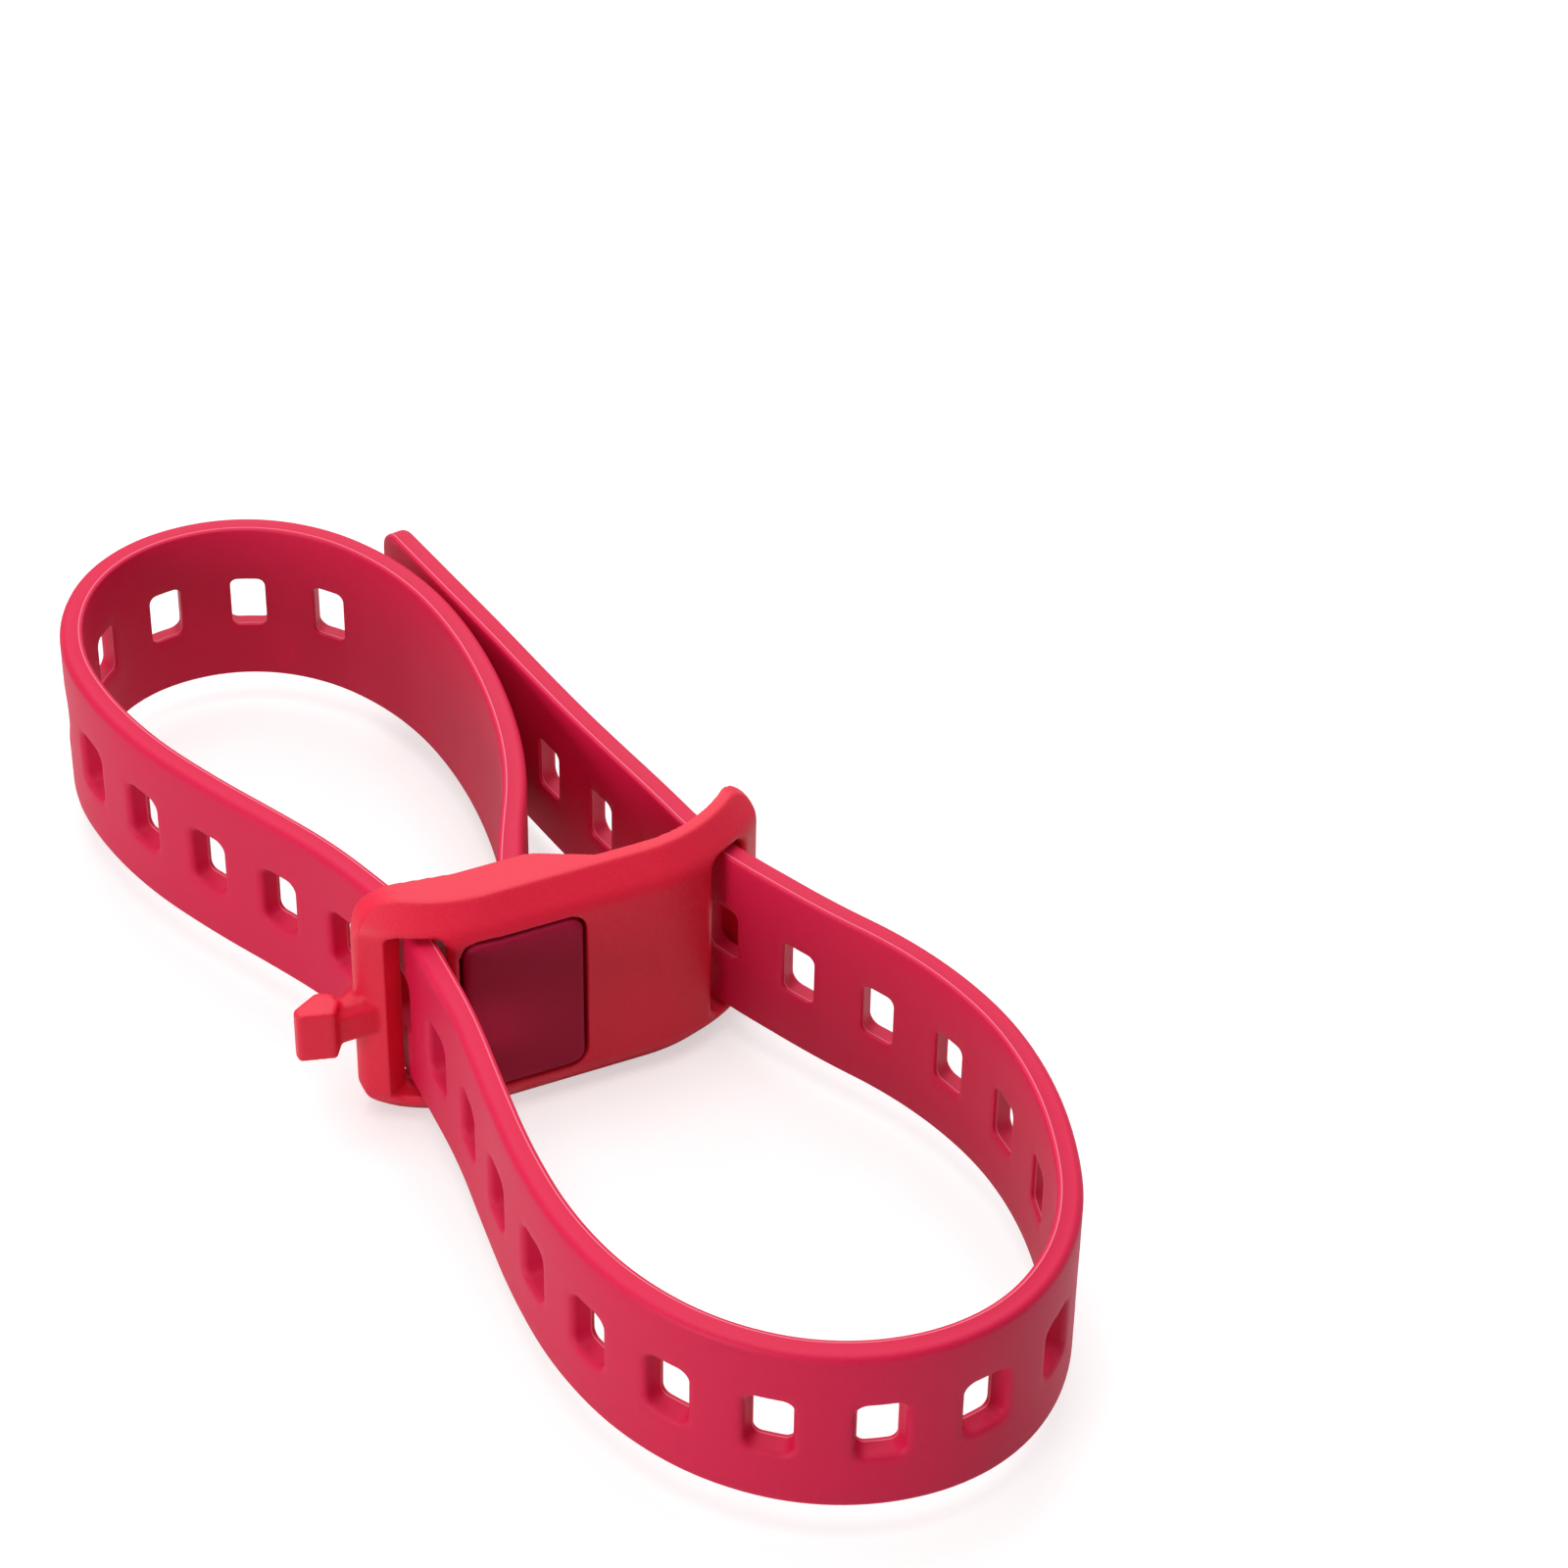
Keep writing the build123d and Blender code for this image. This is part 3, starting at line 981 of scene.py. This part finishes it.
def head_mesh():
    """The head, flat at its back and bowed like the plate at its front."""
    bm = bmesh.new()
    rows = []
    for inset, depth in head_steps():
        ring = rounded_ring(
            HEAD_LENGTH - 2 * inset, HEAD_HEIGHT - 2 * inset,
            max(SMALLEST_CORNER, HEAD_CORNER - inset),
        )
        row = []
        for p in ring:
            x = HEAD_X + p.x
            y = FACE_Y + HEAD_DEPTH if depth == HEAD_DEPTH else bowed_front(x) + depth
            row.append(bm.verts.new((x * MM, y * MM, MID_Z + p.y * MM)))
        rows.append(row)
    for lower, upper in zip(rows, rows[1:]):
        bridge(bm, lower, upper)
    bm.faces.new(rows[-1])
    bm.faces.new(list(reversed(rows[0])))
    face_outwards(bm)
    return mesh_from(bm, "strap_head")


class HEAD_OT_build(bpy.types.Operator):
    """Make the strap's thick head, seated in the plate"""

    bl_idname = "luggage_strap.head"
    bl_label = "Build strap head"

    def execute(self, context):
        head = new_object("strap_head", head_mesh())
        colour = context.scene.strap_sizes.head_colour
        head.data.materials.append(
            moulded("head_elastomer", colour, roughness=0.50, specular=0.14, grain=0.20)
        )
        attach(head, "buckled_strap")
        return {"FINISHED"}


# ---------------------------------------------------------------- stage

# the camera's place in metres, how far its sight turns right and drops in degrees, how far the
# strap's middle lies off that sight, as shares of the distance, and its roll in degrees
CAMERA_PLACE = Vector((-0.1296, -0.3277, 0.3322))
SIGHT_TURN, SIGHT_DROP = 22.0, 43.0
AIM_RIGHT, AIM_UP, ROLL = 0.0422, 0.0541, 0.9
# way from the strap to the middle of the bright backdrop behind and above it
BACKDROP_SIDE = Vector((0.27, 0.68, 0.68))
# each soft light: its power's name, its size and its place in metres
LIGHTS = {
    "key": ("key_power", 0.6, Vector((-0.08, 0.0, 0.78))),
    "back": ("back_power", 0.6, BACKDROP_SIDE * 0.9),
    "fill": ("fill_power", 0.34, Vector((-0.80, -0.34, 0.18))),
}
# the floor lies just clear of the plate's underside
FLOOR_Z = -0.1 * MM
FLOOR_REACH = 0.9
# the floor's tone for the light it throws back, in reflections, and as the camera sees it
FLOOR_TONES = (0.55, 0.92, 0.58)
FLOOR_GLOW = 0.55


class STAGE_OT_build(bpy.types.Operator):
    """Make the floor, the lights and the camera"""

    bl_idname = "luggage_strap.stage"
    bl_label = "Build stage"

    def execute(self, context):
        self.camera(context)
        self.floor()
        self.lights(context)
        self.sky(context)
        context.scene.view_settings.view_transform = "Standard"
        return {"FINISHED"}

    def camera(self, context):
        """The camera, turned and dropped towards the strap and aimed a little off its middle."""
        turn, drop = math.radians(SIGHT_TURN), math.radians(SIGHT_DROP)
        level = Vector((math.sin(turn), math.cos(turn), 0))
        sight = level * math.cos(drop) - Vector((0, 0, math.sin(drop)))
        right = Vector((math.cos(turn), -math.sin(turn), 0))
        up = right.cross(sight)
        aim = (sight + right * AIM_RIGHT + up * AIM_UP).normalized()
        data = bpy.data.cameras.new("camera")
        data.lens = context.scene.stage_sizes.focal
        data.clip_start, data.clip_end = 0.01, 10
        camera = bpy.data.objects.new("camera", data)
        across = aim.cross(up).normalized()
        basis = Matrix((across, across.cross(aim), -aim)).transposed()
        roll = Matrix.Rotation(math.radians(ROLL), 3, aim)
        camera.matrix_world = Matrix.LocRotScale(CAMERA_PLACE, (roll @ basis).to_quaternion(), None)
        context.scene.collection.objects.link(camera)
        context.scene.camera = camera

    def floor(self):
        """A plain pale floor that keeps the strap's shadow."""
        corners = [(-1, -1), (1, -1), (1, 1), (-1, 1)]
        mesh = bpy.data.meshes.new("floor")
        mesh.from_pydata(
            [(x * FLOOR_REACH, y * FLOOR_REACH, FLOOR_Z) for x, y in corners], [], [(0, 1, 2, 3)]
        )
        floor = new_object("floor", mesh)
        mesh.materials.append(self.paper())

    def paper(self):
        """Pale paper that lights the strap plainly and looks white to the camera."""
        material = bpy.data.materials.new("floor_paper")
        shader = Shader(material)
        rays = shader.add("ShaderNodeLightPath").outputs
        grey, white, shaded = [
            shader.add("ShaderNodeBsdfDiffuse", None, {"Color": (tone, tone, tone, 1)}).outputs[0]
            for tone in FLOOR_TONES
        ]
        glow = shader.add("ShaderNodeEmission", None, {"Strength": FLOOR_GLOW})
        bright = shader.add("ShaderNodeAddShader", None, {0: shaded, 1: glow.outputs[0]})
        thrown = shader.add(
            "ShaderNodeMixShader", None, {0: rays["Is Glossy Ray"], 1: grey, 2: white}
        )
        seen = shader.add(
            "ShaderNodeMixShader", None,
            {0: rays["Is Camera Ray"], 1: thrown.outputs[0], 2: bright.outputs[0]},
        )
        shader.add("ShaderNodeOutputMaterial", None, {"Surface": seen.outputs[0]})
        return material

    def lights(self, context):
        """Soft square lights that face the middle of the strap."""
        for name, (power, size, place) in LIGHTS.items():
            data = bpy.data.lights.new(name, "AREA")
            data.energy = getattr(context.scene.stage_sizes, power)
            data.size = size
            lamp = bpy.data.objects.new(name, data)
            facing = (-place).to_track_quat("-Z", "Y")
            lamp.matrix_world = Matrix.LocRotScale(place, facing, None)
            context.scene.collection.objects.link(lamp)

    def sky(self, context):
        """A sky that brightens towards the backdrop and is white to the camera."""
        stage = context.scene.stage_sizes
        world = bpy.data.worlds.new("sky")
        context.scene.world = world
        shader = Shader(world)
        way = shader.add("ShaderNodeTexCoord").outputs["Generated"]
        facing = shader.add(
            "ShaderNodeVectorMath", {"operation": "DOT_PRODUCT"}, {0: way, 1: BACKDROP_SIDE}
        )
        fade = shader.add(
            "ShaderNodeMapRange", None,
            {"Value": facing.outputs["Value"], "To Min": stage.sky_low, "To Max": stage.sky_high},
        )
        seen = shader.add("ShaderNodeLightPath").outputs["Is Camera Ray"]
        strength = shader.math("MAXIMUM", seen, fade.outputs["Result"])
        glow = shader.add(
            "ShaderNodeBackground", None, {"Color": (1, 1, 1, 1), "Strength": strength}
        )
        shader.add("ShaderNodeOutputWorld", None, {"Surface": glow.outputs[0]})


class STRAP_PT_panel(bpy.types.Panel):
    """Lists the values and the steps in the 3D view's sidebar"""

    bl_label = "Luggage strap"
    bl_idname = "STRAP_PT_panel"
    bl_space_type = "VIEW_3D"
    bl_region_type = "UI"
    bl_category = "Luggage strap"

    def draw(self, context):
        scene = context.scene
        for group in (scene.strap_sizes, scene.plate_sizes, scene.stage_sizes):
            box = self.layout.box()
            for name in group.__annotations__:
                box.prop(group, name)
        for step in STEPS:
            self.layout.operator(step.bl_idname)


STEPS = (STAGE_OT_build, PLATE_OT_build, BAND_OT_build, HEAD_OT_build, TAIL_OT_build)
CLASSES = (StrapSizes, PlateSizes, StageSizes, *STEPS, STRAP_PT_panel)


def register():
    """Register the classes and hang their values on the scene."""
    for cls in CLASSES:
        bpy.utils.register_class(cls)
    bpy.types.Scene.strap_sizes = PointerProperty(type=StrapSizes)
    bpy.types.Scene.plate_sizes = PointerProperty(type=PlateSizes)
    bpy.types.Scene.stage_sizes = PointerProperty(type=StageSizes)


def unregister():
    """Take the values and classes away again."""
    for name in ("strap_sizes", "plate_sizes", "stage_sizes"):
        delattr(bpy.types.Scene, name)
    for cls in reversed(CLASSES):
        bpy.utils.unregister_class(cls)


def main():
    """Build every piece in order."""
    register()
    bpy.ops.luggage_strap.stage()
    bpy.ops.luggage_strap.plate()
    bpy.ops.luggage_strap.band()
    bpy.ops.luggage_strap.head()
    bpy.ops.luggage_strap.tail()


if __name__ == "__main__":
    main()
